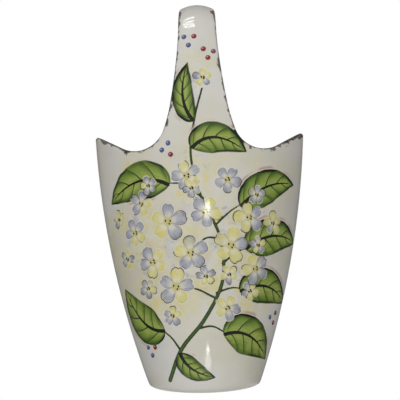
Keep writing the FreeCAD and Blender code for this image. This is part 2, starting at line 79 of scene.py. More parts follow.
# The strap.
ARCH_HEIGHT = 0.3220
ARCH_RADIUS = 0.0300
STRAP_THICKNESS = 0.0062
STRAP_CROWN_RADIUS = 0.0520
LANDING_CROWN_RADIUS = 0.5000
TOP_CURVE = 16.0
STRAP_HALF_WIDTH = 0.0169
CROWN_HALF_WIDTH = 0.0156
LANDING_HALF_WIDTH = 0.0170
TAPER_POWER = 1.6
FLATTEN_POWER = 3

# The rim's round and the strap's lean settle over the first sixth of the way from the root.
ROOT_FADE = 6

# Where the brown brushwork is thickest: on the ears, and where the strap leans so far.
EAR_DARK = 0.0038
DARK_LEAN = 0.75
DARK_SPREAD = 0.14

# The nail hole.
NAIL_RADIUS = 0.0040
NAIL_ROUND = 0.0009

# How finely the pieces are meshed.
CENTRE_COLUMNS = 34
RIM_COLUMNS = 140
OUTER_ROWS = 232
INNER_ROWS = 32
ROUND_STEPS = 10
RISE_STATIONS = 84
ARCH_STATIONS = 116
SIDE_STEPS = 120
RING_STEPS = 48
DENSE = 700
FLAT_MARGIN = 0.0004
SEAM_ROUND = 0.0002
SHARP_ANGLE = math.radians(38)
MM = 0.001

# Turns a right half into a left half.
MIRROR = np.array([-1, 1, 1])


def linear(red, green, blue):
    """A colour as it is seen on a screen, turned into the light that it stands for."""
    tones = np.array([red, green, blue]) / 255
    light = np.where(tones <= 0.04045, tones / 12.92, ((tones + 0.055) / 1.055) ** 2.4)
    return (*light.tolist(), 1.0)


def unit(vectors):
    """The same directions with a length of one."""
    return vectors / np.linalg.norm(vectors, axis=-1, keepdims=True)


def ease(share):
    """A share that starts and ends softly."""
    held = np.clip(share, 0, 1)
    return held * held * (3 - 2 * held)


def mix(start, end, share):
    """A value that goes from a start to an end with a share: a number, an array or a flow."""
    return start + (end - start) * share


def columns(*values):
    """Points or ways, put together from their coordinates."""
    return np.stack(np.broadcast_arrays(*values), axis=-1)


def around(angles):
    """The ways that angles point in."""
    return columns(np.cos(angles), np.sin(angles))


def ways_along(path):
    """How far each point of a path lies from its start."""
    return np.concatenate([[0], np.cumsum(np.linalg.norm(np.diff(path, axis=0), axis=1))])


def even_steps(path, count, *lists):
    """Values along a path, taken anew in equal steps of its length."""
    ways = ways_along(path)
    marks = np.linspace(0, ways[-1], count + 1)
    return [np.interp(marks, ways, values) for values in lists]


def bent_line(start, bend, end, count):
    """Points of a curve from a start to an end, which a third point bends aside."""
    share = np.linspace(0, 1, count)[:, None]
    start, bend, end = np.array(start), np.array(bend), np.array(end)
    return mix(mix(start, bend, share), mix(bend, end, share), share)


# The shape of the wall.

def swelling(height, foot, ear, bulge):
    """A size that goes from the foot's to the ears', with a bulge between them."""
    share = height / EAR_HEIGHT
    return mix(foot, ear, share) + 4 * bulge * share * (1 - share)


def half_width_at(height):
    """Half the width of the wall at a height."""
    return swelling(height, FOOT_HALF_WIDTH, EAR_HALF_WIDTH, SIDE_BULGE)


def depth_at(height):
    """The depth of the wall at a height."""
    return swelling(height, FOOT_DEPTH, EAR_DEPTH, DEPTH_BULGE)


def wall_plan(height):
    """The plan at a height: reach and radius of the corners, radius and centre of the front, its turn."""
    corner = mix(FOOT_CORNER, EAR_CORNER, height / EAR_HEIGHT)
    reach = half_width_at(height) - corner
    bow = depth_at(height) - BACK_THICKNESS
    front = (reach ** 2 + bow ** 2 - corner ** 2) / (2 * (bow - corner))
    centre = front - depth_at(height)
    turn = np.arctan2(reach, centre + BACK_THICKNESS)
    return reach, corner, front, centre, turn


def wall_point(height, turned, inset=0.0):
    """The point of the wall whose face has turned so far from the front, set in from the outside."""
    reach, corner, front, centre, turn = wall_plan(height)
    angle = np.abs(turned)
    on_front = angle < turn
    radius = np.where(on_front, front, corner) - inset
    across = np.where(on_front, 0, reach) + radius * np.sin(angle)
    deep = np.where(on_front, centre, -BACK_THICKNESS) - radius * np.cos(angle)
    return columns(np.sign(turned) * across, deep, height - NAIL_HEIGHT)


def arc_of(height, turned):
    """The way along the outside from the middle line to where the face has turned so far."""
    _, corner, front, _, turn = wall_plan(height)
    angle = np.abs(turned)
    return np.sign(turned) * (front * np.minimum(angle, turn) + corner * np.maximum(angle - turn, 0))


def turned_of(height, arc):
    """How far the face has turned after a way along the outside."""
    _, corner, front, _, turn = wall_plan(height)
    way = np.abs(arc)
    return np.sign(arc) * np.where(way < front * turn, way / front, turn + (way - front * turn) / corner)


def turned_at(height, across, inset):
    """How far the face has turned where the wall, set in, lies so far to the right."""
    reach, corner, front, _, turn = wall_plan(height)
    on_front = np.arcsin(np.clip(across / (front - inset), 0, 1))
    on_corner = np.arcsin(np.clip((across - reach) / (corner - inset), 0, 1))
    return np.where(on_front < turn, on_front, on_corner)


def meeting_circle(point, radius, other_centre, other_radius):
    """Centre of a circle through a point that holds a smaller circle against its inside."""
    toward = other_centre - point
    apart = np.hypot(*toward)
    inner = radius - other_radius
    along = (radius ** 2 - inner ** 2 + apart ** 2) / (2 * apart)
    aside = math.sqrt(radius ** 2 - along ** 2)
    way = toward / apart
    return point + along * way + aside * np.array([-way[1], way[0]])


ROOT = np.array([ROOT_HALF_WIDTH, ROOT_HEIGHT])
SCALLOP_CENTRE = np.array([
    mix(ROOT_HALF_WIDTH, EAR_HALF_WIDTH, SCALLOP_PLACE_SHARE),
    EAR_HEIGHT - SCALLOP_DROP + SCALLOP_RADIUS,
])
FLANK_CENTRE = meeting_circle(ROOT, FLANK_RADIUS, SCALLOP_CENTRE, SCALLOP_RADIUS)


def rim_outline(inset):
    """The right half of the rim from the root of the strap to the ear, set in by a distance."""
    toward = SCALLOP_CENTRE - FLANK_CENTRE
    at_scallop = math.atan2(toward[1], toward[0]) % math.tau
    to_ear = np.array([EAR_HALF_WIDTH, EAR_HEIGHT]) - SCALLOP_CENTRE
    spread = math.acos(SCALLOP_RADIUS / np.hypot(*to_ear))
    at_rise = (math.atan2(to_ear[1], to_ear[0]) - spread) % math.tau
    flank = FLANK_RADIUS + inset
    at_root = math.pi - math.asin((ROOT_HEIGHT - FLANK_CENTRE[1]) / flank)
    flank_points = FLANK_CENTRE + flank * around(np.linspace(at_root, at_scallop, DENSE))
    scallop = (SCALLOP_RADIUS + inset) * around(np.linspace(at_scallop, at_rise, DENSE))
    scallop_points = SCALLOP_CENTRE + scallop
    way = np.array([-math.sin(at_rise), math.cos(at_rise)])
    start = scallop_points[-1]
    run = np.linspace(0, EAR_HALF_WIDTH, DENSE)
    spots = start + run[:, None] * way
    end = np.interp(0, spots[:, 0] - half_width_at(spots[:, 1]) + inset, run)
    steps = np.sin(np.linspace(0, math.pi / 2, DENSE)) * end
    rise_points = start + steps[:, None] * way
    return np.concatenate([flank_points, scallop_points[1:], rise_points[1:]])


# Meshes.

def quads(index):
    """Faces between the neighbouring rows and columns of a table of point numbers."""
    corners = (index[:-1, :-1], index[1:, :-1], index[1:, 1:], index[:-1, 1:])
    return np.stack([corner.ravel() for corner in corners], axis=1).tolist()


def hoop(index):
    """Faces of a table of point numbers whose last row meets its first."""
    return quads(np.concatenate([index, index[:1]]))


def numbered(*tables):
    """The points of some tables in one list, and a table of point numbers for each."""
    points = np.concatenate([table.reshape(-1, 3) for table in tables])
    ends = np.cumsum([table[..., 0].size for table in tables])
    numbers = np.split(np.arange(len(points)), ends[:-1])
    return points, [some.reshape(table.shape[:-1]) for some, table in zip(numbers, tables)]


def put_in_scene(name, data):
    """A new object in the scene."""
    thing = bpy.data.objects.new(name, data)
    bpy.context.scene.collection.objects.link(thing)
    return thing


def make_piece(name, points, faces, fills=()):
    """A closed mesh with soft faces and sharp corners. A fill closes flat loops of point numbers."""
    mesh = bpy.data.meshes.new(name)
    mesh.from_pydata(points.tolist(), [], faces)
    work = bmesh.new()
    work.from_mesh(mesh)
    work.verts.ensure_lookup_table()
    for loops in fills:
        edges = []
        for loop in loops:
            for start, end in zip(loop, np.roll(loop, -1)):
                pair = (work.verts[start], work.verts[end])
                edges.append(work.edges.get(pair) or work.edges.new(pair))
        bmesh.ops.triangle_fill(work, use_beauty=True, use_dissolve=False, edges=edges)
    bmesh.ops.recalc_face_normals(work, faces=work.faces)
    work.to_mesh(mesh)
    work.free()
    mesh.shade_smooth()
    mesh.set_sharp_from_angle(angle=SHARP_ANGLE)
    return put_in_scene(name, mesh)


def keep(piece, name, values):
    """Store one number or one triple for each point of a piece."""
    kind, field = ("FLOAT", "value") if values.ndim == 1 else ("FLOAT_VECTOR", "vector")
    layer = piece.data.attributes.new(name, kind, "POINT")
    layer.data.foreach_set(field, values.astype(np.float32).ravel())


def nearest(points, marks, block=4000):
    """How far each point lies from the nearest mark, worked out for a block of points at a time."""
    found = np.empty(len(points))
    for start in range(0, len(points), block):
        gaps = points[start:start + block, None, :] - marks[None, :, :]
        found[start:start + block] = np.sqrt((gaps ** 2).sum(axis=-1).min(axis=1))
    return found


def rim_columns():
    """Height and turn of the rim's middle line, in even steps from the root to the ear."""
    inset = WALL / 2
    across, height = rim_outline(inset).T
    turned = turned_at(height, across, inset)
    turned[-1] = math.pi / 2
    return even_steps(wall_point(height, turned, inset), RIM_COLUMNS, height, turned)


def rim_rounds(height, turned):
    """The rows of the rounded rim, from its outer to its inner side, for the right half."""
    inset = WALL / 2
    middle = wall_point(height, turned, inset)
    along = unit(np.gradient(middle, axis=0))
    level = columns(np.cos(turned), np.sin(turned), 0)
    step = inset / 2
    up = wall_point(height + step, turned, inset) - wall_point(height - step, turned, inset)
    away = unit(np.cross(unit(np.cross(level, up)), along))
    near_root = 1 - ease(np.linspace(0, ROOT_FADE, len(height)))
    away = unit(mix(away, level, near_root[:, None]))
    away[-1] = (0, 0, 1)
    outward = columns(np.sin(turned), -np.cos(turned), 0)
    rows = []
    for angle in np.linspace(0, math.pi, ROUND_STEPS + 1):
        rows.append(middle + inset * (math.cos(angle) * outward + math.sin(angle) * away))
    return np.stack(rows, axis=1)


def mirrored(values, sign):
    """Add the left half in front of the right half of a list that starts at the middle line."""
    return np.concatenate([sign * values[:0:-1], values])


def make_front_wall():
    """The bowed shell with its scalloped rim, its ears and the root of the strap."""
    rim_height, rim_turned = rim_columns()
    root_turned = np.linspace(0, rim_turned[0], CENTRE_COLUMNS + 1)[:-1]
    top_turned = mirrored(np.concatenate([root_turned, rim_turned]), -1)
    top_height = mirrored(np.concatenate([np.full(CENTRE_COLUMNS, ROOT_HEIGHT), rim_height]), 1)
    top_share = arc_of(top_height, top_turned) / arc_of(top_height, math.pi / 2)
    foot_share = np.linspace(-1, 1, len(top_share))

    def shell(rows, inset):
        """One side of the wall from its top to the floor: points, ways along it and heights."""
        fall = np.linspace(0, 1, rows + 1)[None, :]
        height = mix(top_height[:, None], FLOOR_THICKNESS, fall)
        share = mix(top_share[:, None], foot_share[:, None], fall)
        arc = share * arc_of(height, math.pi / 2)
        turned = turned_of(height, arc)
        turned[:, 0] = top_turned
        return wall_point(height, turned, inset), arc, height

    outer_points, outer_arc, outer_height = shell(OUTER_ROWS, 0.0)
    inner_points, _, _ = shell(INNER_ROWS, WALL)
    rounds = rim_rounds(rim_height, rim_turned)[:, 1:-1]
    points, tables = numbered(outer_points, inner_points, rounds, rounds * MIRROR)
    outer, inner, right_rim, left_rim = tables
    last = len(top_share) - 1
    root_column = last // 2 + CENTRE_COLUMNS
    right = slice(root_column, last + 1)
    left = slice(last - root_column, None, -1)
    centre = slice(last - root_column, root_column + 1)
    faces = quads(outer) + quads(inner)
    faces += quads(np.stack([outer[:, -1], inner[:, -1]]))
    faces += quads(np.stack([outer[centre, 0], inner[centre, 0]]))
    for side, rim in ((right, right_rim), (left, left_rim)):
        table = np.concatenate([outer[side, :1], rim, inner[side, :1]], axis=1)
        faces += quads(table)
        faces.append(table[0].tolist())
        faces.append(table[-1].tolist() + inner[side][-1, 1:].tolist() + outer[side][-1, :0:-1].tolist())
    piece = make_piece("front_wall_glazed", points, faces)

    across = np.zeros(len(points))
    height = np.zeros(len(points))
    outside = np.zeros(len(points), bool)
    across[outer] = outer_arc / MM
    height[outer] = outer_height / MM
    outside[outer] = True
    half_round = ROUND_STEPS // 2
    rim_arc = arc_of(rim_height, rim_turned)
    for rim, sign in ((right_rim, 1), (left_rim, -1)):
        across[rim] = sign * rim_arc[:, None] / MM
        height[rim] = rim_height[:, None] / MM
        outside[rim[:, :half_round]] = True
    crest = points[np.concatenate([right_rim, left_rim])[:, half_round - 1]]
    edge = nearest(points, crest) / MM
    on_ear = np.abs(crest[:, 0]) > EAR_HALF_WIDTH - EAR_DARK
    corner = nearest(points, crest[on_ear]) / MM
    return piece, across, height, outside, edge, corner


def strap_path():
    """Where the strap runs: lean, place, thickness, half width and crown radius of each station."""
    slope = (EAR_DEPTH - FOOT_DEPTH) / EAR_HEIGHT
    slope += 4 * DEPTH_BULGE * (1 - 2 * ROOT_HEIGHT / EAR_HEIGHT) / EAR_HEIGHT
    root_lean = -math.atan(slope)
    root_depth = depth_at(ROOT_HEIGHT)
    run = root_depth - ARCH_RADIUS
    rise = ARCH_HEIGHT - ROOT_HEIGHT
    gap = run * math.cos(root_lean) - rise * math.sin(root_lean)
    radius = (run ** 2 + rise ** 2 - ARCH_RADIUS ** 2) / (2 * (gap - ARCH_RADIUS))
    top = rise + radius * math.sin(root_lean)
    arch_start = math.atan(top / (radius * math.cos(root_lean) - run))
    share = np.linspace(0, 1, RISE_STATIONS + 1)[:-1]
    lean = mix(root_lean, arch_start, share)
    taper = 1 - (1 - share) ** TAPER_POWER
    rising = {
        "lean": lean * ease(share * ROOT_FADE),
        "deep": radius * (math.cos(root_lean) - np.cos(lean)) - root_depth,
        "height": ROOT_HEIGHT + radius * (np.sin(lean) - math.sin(root_lean)),
        "thick": mix(WALL, STRAP_THICKNESS, share),
        "half": mix(ROOT_HALF_WIDTH, STRAP_HALF_WIDTH, taper),
        "crown": mix(wall_plan(ROOT_HEIGHT)[2], STRAP_CROWN_RADIUS, share),
    }
    share = np.linspace(0, 1, ARCH_STATIONS + 1)
    lean = mix(arch_start, math.pi, share)
    narrow = mix(STRAP_HALF_WIDTH, CROWN_HALF_WIDTH, np.minimum(1, 2 * share))
    curve = mix(1 / STRAP_CROWN_RADIUS, 1 / LANDING_CROWN_RADIUS, share ** FLATTEN_POWER)
    curve += TOP_CURVE * np.sin(math.pi * share) ** 2
    arching = {
        "lean": lean,
        "deep": -ARCH_RADIUS * (1 + np.cos(lean)),
        "height": ARCH_HEIGHT + ARCH_RADIUS * np.sin(lean),
        "thick": mix(STRAP_THICKNESS, BACK_THICKNESS, share),
        "half": mix(narrow, LANDING_HALF_WIDTH, np.maximum(0, 2 * share - 1)),
        "crown": 1 / curve,
    }
    return {name: np.concatenate([rising[name], arching[name]])[:, None] for name in rising}


def make_strap():
    """The strap, which rises from the front wall and arches over to the back tongue."""
    path = strap_path()
    crown = path["crown"]
    cap = path["thick"] / 2
    ring = crown - cap
    swing = np.arcsin((path["half"] - cap) / ring)
    span = np.linspace(-1, 1, 2 * CENTRE_COLUMNS + 1)[None, :]
    turn = np.linspace(0, math.pi, ROUND_STEPS + 1)[None, 1:-1]

    def face_line(radius, sweep):
        """The outer or the inner face of each station: across, and in from the outer face."""
        return radius * np.sin(swing * sweep), crown - radius * np.cos(swing * sweep)

    def edge_line(side, angles):
        """The rounded edge of each station on one side, in the same terms."""
        angle = side * swing - math.pi / 2 + side * angles
        across = side * ring * np.sin(swing) + cap * np.cos(angle)
        return across, crown - ring * np.cos(swing) + cap * np.sin(angle)

    def spots(across, inward):
        """The points that lie so far across each station and so far in from its outer face."""
        deep = path["deep"] + inward * np.cos(path["lean"])
        return columns(across, deep, path["height"] - inward * np.sin(path["lean"]) - NAIL_HEIGHT)

    outer_face = face_line(crown, span)
    inner_face = face_line(crown - path["thick"], span[:, ::-1])
    loop = (outer_face, edge_line(1, turn), inner_face, edge_line(-1, turn[:, ::-1]))
    across, inward = (np.concatenate(lines, axis=1) for lines in zip(*loop))
    points, (body,) = numbered(spots(across, inward))
    closed = np.concatenate([body, body[:, :1]], axis=1)
    faces = quads(closed) + [body[0].tolist(), body[-1].tolist()]
    piece = make_piece("handle_strap_glazed", points, faces)

    way = ways_along(np.concatenate([path["deep"], path["height"]], axis=1))
    height = np.broadcast_to((ROOT_HEIGHT + way)[:, None] / MM, across.shape)
    face = across.copy()
    face[:, :span.size] = crown * swing * span
    half_round = ROUND_STEPS // 2
    outside = np.zeros(across.shape, bool)
    outside[:, :span.size + half_round] = True
    outside[:, -half_round:] = True
    tip = ring * np.sin(swing) + cap * np.cos(swing)
    tip_in = crown - ring * np.cos(swing) + cap * np.sin(swing)
    edge = np.hypot(np.abs(across) - tip, inward - tip_in) / MM
    marks = spots(tip, tip_in)[np.abs(path["lean"] - DARK_LEAN) < DARK_SPREAD]
    corner = nearest(points, np.concatenate([marks, marks * MIRROR])) / MM
    return piece, face.ravel() / MM, height.ravel(), outside.ravel(), edge.ravel(), corner


def back_outline():
    """The right side of the back slab, set in by half the wall: its straight side, rim and tongue."""
    inset = WALL / 2
    rim = rim_outline(inset)[::-1]
    rim = rim[rim[:, 1] <= ROOT_HEIGHT]
    low = np.linspace(FLOOR_THICKNESS, EAR_HEIGHT, SIDE_STEPS)
    low = low[low < rim[0, 1] - inset / 4]
    side = columns(half_width_at(low) - inset, low)
    away = ROOT - FLANK_CENTRE
    lean = math.atan2(away[1], away[0])
    slope = np.array([-math.sin(lean), math.cos(lean)])
    slope = slope if slope[1] > 0 else -slope
    tongue_top = np.array([LANDING_HALF_WIDTH - inset, ARCH_HEIGHT])
    bend = rim[-1] + slope * (tongue_top[1] - rim[-1, 1]) / 2 / slope[1]
    tongue = bent_line(rim[-1], bend, tongue_top, SIDE_STEPS // 2)[1:]
    return side, columns(*even_steps(rim, RIM_COLUMNS, *rim.T)), tongue


def edge_ways(path):
    """The way out of the slab at each point of a path, which runs with the slab on its left."""
    along = unit(np.gradient(path, axis=0))
    return columns(along[:, 1], -along[:, 0])


def slab_edge(outline, out, front_round, rear_round):
    """The back slab's rounded edge along an outline, from the front to the rear face."""
    quarter = np.linspace(0, math.pi / 2, ROUND_STEPS // 2 + 1)
    rows = [(front_round + FLAT_MARGIN, -BACK_THICKNESS)]
    for angle in quarter:
        deep = front_round * (1 - math.cos(angle)) - BACK_THICKNESS
        rows.append((front_round * (1 - math.sin(angle)), deep))
    for angle in quarter:
        rows.append((rear_round * (1 - math.cos(angle)), -rear_round * (1 - math.sin(angle))))
    rows.append((rear_round + FLAT_MARGIN, 0.0))
    sheet = []
    for set_in, deep in rows:
        spot = outline - set_in[:, None] * out
        sheet.append(columns(spot[:, 0], deep, spot[:, 1] - NAIL_HEIGHT))
    return np.stack(sheet, axis=1)


def make_back_wall():
    """The flat slab behind, with the same rim, the tall tongue and the nail hole."""
    side, rim, tongue = back_outline()
    inset = WALL / 2
    side_out = edge_ways(side)
    rim_out = edge_ways(np.concatenate([rim, tongue]))
    side_out[0] = (1, 0)
    rim_out[-1] = (1, 0)
    start = math.atan2(side_out[-1, 1], side_out[-1, 0])
    end = math.atan2(rim_out[0, 1], rim_out[0, 0])
    tip_out = around(np.linspace(start, end, ROUND_STEPS + 2)[1:-1])
    tip = np.repeat(rim[:1], ROUND_STEPS, axis=0)
    out = np.concatenate([side_out, tip_out, rim_out])
    outline = np.concatenate([side, tip, rim, tongue]) + inset * out
    tip_seam = ease(np.linspace(1, 0, ROUND_STEPS))
    seam = np.concatenate([np.ones(len(side)), tip_seam, np.zeros(len(rim_out))])
    right_points = slab_edge(outline, out, mix(inset, SEAM_ROUND, seam), mix(inset, BACK_ROUND, seam))
    ring = around(np.linspace(0, math.tau, RING_STEPS + 1)[:-1])
    nail_round = np.full(RING_STEPS, NAIL_ROUND)
    hole_points = slab_edge((0, NAIL_HEIGHT) + NAIL_RADIUS * ring, -ring, nail_round, nail_round)

    points, (right, left, hole) = numbered(right_points, right_points * MIRROR, hole_points)
    faces = quads(right) + quads(left)
    for end_row in (0, -1):
        faces.append(right[end_row].tolist() + left[end_row][::-1].tolist())
    faces += hoop(hole)
    fills = []
    for row in (0, -1):
        fills.append((np.concatenate([right[:, row], left[::-1, row]]), hole[:, row]))
    return make_piece("back_wall_glazed", points, faces, fills)


def make_floor():
    """The bottom slab, with a rounded foot and a key that stands inside the walls."""
    turns = np.linspace(-math.pi / 2, math.pi / 2, 2 * (CENTRE_COLUMNS + RIM_COLUMNS) + 1)
    corner = BACK_ROUND + SEAM_ROUND
    straight = np.linspace(-BACK_THICKNESS, -corner, ROUND_STEPS)[1:]
    quarter = np.linspace(0, math.pi / 2, ROUND_STEPS + 1)
    bend_out = around(quarter)[1:]
    rear_line = np.concatenate([columns(0, straight), corner * (bend_out - 1)])
    rear_out = np.concatenate([np.tile((1, 0), (len(straight), 1)), bend_out])
    past_seam = ease((straight + BACK_THICKNESS) / (BACK_THICKNESS - corner))
    side_round = mix(FOOT_ROUND, BACK_ROUND, past_seam)
    rear_round = np.concatenate([side_round, np.full(len(bend_out), BACK_ROUND)])

    def level(front_height, rear_height, inset_share):
        """One level of the foot, set in by a share of its rounding."""
        front_height = np.full(len(turns), front_height)
        rear_height = np.full(len(rear_round), rear_height)
        front = wall_point(front_height, turns, FOOT_ROUND * inset_share)[:, :2]
        rear = rear_line + (half_width_at(rear_height.mean()), 0)
        rear -= rear_out * (rear_round * inset_share)[:, None]
        spots = np.concatenate([front, rear, rear[::-1] * (-1, 1)])
        heights = np.concatenate([front_height, rear_height, rear_height[::-1]])
        return columns(*spots.T, heights - NAIL_HEIGHT)

    rows = [level(FLOOR_THICKNESS, FLOOR_THICKNESS, 0)]
    for angle in quarter:
        rise = 1 - math.sin(angle)
        rows.append(level(FOOT_ROUND * rise, rear_round * rise, 1 - math.cos(angle)))
    rows.append(level(0.0, 0.0, 1 + FLAT_MARGIN / BACK_ROUND))

    inset = WALL + KEY_CLEARANCE
    crest = FLOOR_THICKNESS + KEY_HEIGHT
    key_rows = []
    for height, set_in in ((FLOOR_THICKNESS, inset), (crest - KEY_ROUND, inset), (crest, inset + KEY_ROUND)):
        row = wall_point(np.full_like(turns, height), turns, set_in)
        row[:, 1] -= set_in - WALL
        key_rows.append(row)

    points, (foot, key) = numbered(np.stack(rows, axis=1), np.stack(key_rows, axis=1))
    faces = []
    for part in (foot, key):
        faces += hoop(part) + [part[:, -1].tolist()]
    return make_piece("floor_foot", points, faces, [(foot[:, 0], key[:, 0])])


# The painting: where its motifs lie on the unrolled front, in millimetres.

# The main stem and its twigs, as points that a smooth line runs through, with half widths at both ends.
STEMS = (
    ((
        (-33, 12), (-20, 42), (2, 70), (18, 104), (16, 142), (0, 178), (-8, 214), (-4, 246), (3, 272),
    ), 2, 0.8),
    (((-21, 40), (-30, 52), (-44, 62)), 1, 0.6),
    (((-6, 60), (8, 62), (22, 54)), 1, 0.6),
    (((12, 92), (26, 96), (40, 94)), 1, 0.6),
    (((18, 118), (32, 128), (46, 132)), 1, 0.6),
    (((12, 152), (26, 164), (40, 172)), 1, 0.6),
    (((2, 176), (-14, 188), (-30, 190)), 1, 0.6),
    (((10, 88), (-6, 96), (-22, 96)), 1, 0.6),
    (((16, 140), (4, 141), (-8, 131)), 1, 0.6),
)

# Leaves: base, bend and tip, half width, and the layer of paint that they lie in.
LEAVES = (
    ((-36, 58), (-62, 54), (-84, 94), 17, 0),
    ((-22, 38), (-17, 21), (9, 15), 9.5, 1),
    ((18, 54), (44, 62), (68, 26), 18, 0),
    ((34, 92), (62, 106), (94, 76), 16, 1),
    ((40, 130), (68, 150), (106, 132), 16.5, 0),
    ((36, 168), (62, 194), (99, 186), 15.5, 1),
    ((-28, 188), (-56, 204), (-94, 172), 17, 0),
    ((-7, 220), (11, 240), (42, 216), 13.5, 1),
    ((-5, 244), (-21, 262), (-9, 296), 9.5, 0),
)

# Blossoms: middle, radius, turn in degrees and the layer of paint that they lie in.
BLOSSOMS = (
    ((-24, 98), 18, 10, 0),
    ((50, 112), 16, 40, 0),
    ((22, 78), 13, 65, 1),
    ((-10, 128), 17, 25, 1),
    ((26, 134), 17.5, 5, 1),
    ((-46, 120), 16, 50, 1),
    ((-30, 156), 18, 15, 0),
    ((4, 164), 15, 60, 0),
    ((44, 158), 15.5, 30, 0),
    ((-64, 146), 14, 45, 0),
    ((70, 152), 11, 20, 1),
    ((-56, 172), 12.5, 5, 1),
    ((24, 192), 13, 55, 1),
    ((-12, 196), 15, 35, 1),
    ((4, 282), 9.5, 20, 1),
    ((3, 107), 9.5, 30, 0),
    ((-52, 96), 9.5, 60, 0),
    ((-28, 72), 10, 15, 1),
    ((24, 108), 9, 45, 0),
    ((52, 178), 9.5, 10, 1),
    ((-8, 185), 8.5, 50, 0),
    ((-84, 158), 9, 25, 1),
    ((-76, 122), 10, 5, 1),
    ((-48, 188), 9, 35, 0),
    ((53, 133), 9, 20, 1),
    ((44, 92), 9.5, 55, 1),
)

# Sprigs of berries: where each berry lies.
BERRIES = (
    (9, 300), (14, 306), (5, 308), (-8, 312), (-12, 320), (-3, 320),
    (-52, 34), (-57, 41), (-48, 42), (70, 66), (76, 60), (79, 69), (-34, 219), (-28, 225), (-26, 215),
)
BERRY_RADIUS = 2.5

# How fine the layout's lines are, and what stands for no motif at all.
STEM_STEPS = 12
LEAF_STEPS = 40
FAR = 1000.0
FAR_LEAF = ((0.0, FAR, FAR), (1.0, 50.0, 0.0))
FAR_ROUND = ((FAR, FAR, FAR), (1.0, 0.0, 0.0))

# A leaf's half width grows and falls again with these powers of the way from its base and its tip.
LEAF_BASE_POWER = 0.55
LEAF_TIP_POWER = 0.95
LEAF_WIDEST = LEAF_BASE_POWER / (LEAF_BASE_POWER + LEAF_TIP_POWER)
LEAF_MOST = LEAF_WIDEST ** LEAF_BASE_POWER * (1 - LEAF_WIDEST) ** LEAF_TIP_POWER

# The washes of yellow, pink and blue: how far they reach round a blossom of the usual radius.
WASH_REACHES = (20.0, 15.0, 15.0)
USUAL_RADIUS = 16.0
WASH_WANDER = 14.0
WASH_STRENGTHS = (0.3, 0.9)
WASH_SEED = 7


def along_path(spots, path):
    """For each spot: its way along a path, its distance and its side. Then the path's length."""
    best = np.full(len(spots), FAR)
    along = np.zeros(len(spots))
    side = np.ones(len(spots))
    ways = ways_along(path)
    for start, end, way in zip(path, path[1:], ways):
        run = end - start
        length = np.hypot(*run)
        share = np.clip(((spots - start) @ run) / length ** 2, 0, 1)
        gap = spots - start - share[:, None] * run
        distance = np.hypot(*gap.T)
        closer = distance < best
        best = np.where(closer, distance, best)
        along = np.where(closer, way + share * length, along)
        turn = run[0] * gap[:, 1] - run[1] * gap[:, 0]
        side = np.where(closer, np.where(turn < 0, -1.0, 1.0), side)
    return along, best, side, ways[-1]


def smooth_line(knots):
    """Points of a smooth line through a few knots."""
    knots = np.array(knots, float)
    ends = np.concatenate([[2 * knots[0] - knots[1]], knots, [2 * knots[-1] - knots[-2]]])
    share = np.linspace(0, 1, STEM_STEPS + 1)[1:, None]
    points = [knots[:1]]
    for a, b, c, d in zip(ends, ends[1:], ends[2:], ends[3:]):
        square = (2 * a - 5 * b + 4 * c - d) * share ** 2
        cube = (3 * b - a - 3 * c + d) * share ** 3
        points.append((2 * b + (c - a) * share + square + cube) / 2)
    return np.concatenate(points)


def leaves_of(layer, spots):
    """Each leaf of a layer: share along its midrib, side, distance; half width, length and number."""
    for number, (base, bend, tip, half, where) in enumerate(LEAVES):
        if where == layer:
            midrib = bent_line(base, bend, tip, LEAF_STEPS + 1)
            along, distance, side, length = along_path(spots, midrib)
            yield columns(along / length, distance * side, distance), (half, length, number)


def rounds_of(layer, motifs, spots):
    """Each round motif of a layer: places on its turned axes, distance from its middle; radius, number."""
    for number, (middle, radius, turn, where) in enumerate(motifs):
        if where == layer:
            gap = spots - np.array(middle)
            angle = math.radians(turn)
            x = gap[:, 0] * math.cos(angle) + gap[:, 1] * math.sin(angle)
            y = gap[:, 1] * math.cos(angle) - gap[:, 0] * math.sin(angle)
            yield columns(x, y, np.hypot(x, y)), (radius, number, 0.0)


def nearest_motif(outside, motifs, far):
    """Each point's place in the nearest motif, with the distance last, and its marks, reach first."""
    place = np.tile(far[0], (len(outside), 1))
    mark = np.tile(far[1], (len(outside), 1))
    for found, marks in motifs:
        nearer = found[:, 2:] - marks[0] < place[:, 2:] - mark[:, :1]
        place = np.where(nearer, found, place)
        mark = np.where(nearer, marks, mark)
    place[~outside] = far[0]
    return place, mark


def paint_layout(across, height, outside, random):
    """What the paint needs to know at each point: where it lies in the nearest motif of each layer."""
    spots = columns(across, height)
    stem = np.full(len(spots), FAR)
    for knots, start_half, end_half in STEMS:
        along, distance, _, length = along_path(spots, smooth_line(knots))
        stem = np.minimum(stem, distance - mix(start_half, end_half, along / length))
    layout = {"stem": np.where(outside, stem, FAR)}
    berries = [(middle, BERRY_RADIUS, 0, 0) for middle in BERRIES]
    found = {"berry": nearest_motif(outside, rounds_of(0, berries, spots), FAR_ROUND)}
    for layer in (0, 1):
        found["leaf_%d" % layer] = nearest_motif(outside, leaves_of(layer, spots), FAR_LEAF)
        found["bloom_%d" % layer] = nearest_motif(outside, rounds_of(layer, BLOSSOMS, spots), FAR_ROUND)
    for name, (place, mark) in found.items():
        layout[name + "_place"] = place
        layout[name + "_mark"] = mark
    wash = np.zeros((len(spots), 3))
    for channel, wash_reach in enumerate(WASH_REACHES):
        for middle, radius, _, _ in BLOSSOMS:
            gap = spots - np.array(middle) - random.normal(0, WASH_WANDER, 2)
            reach = wash_reach * radius / USUAL_RADIUS
            cloud = np.exp(-(gap ** 2).sum(axis=1) / 2 / reach ** 2)
            wash[:, channel] += random.uniform(*WASH_STRENGTHS) * cloud
    layout["wash"] = np.where(outside[:, None], np.clip(wash, 0, 1), 0)
    return layout


# Node trees. Sums of flows are written like sums of numbers.

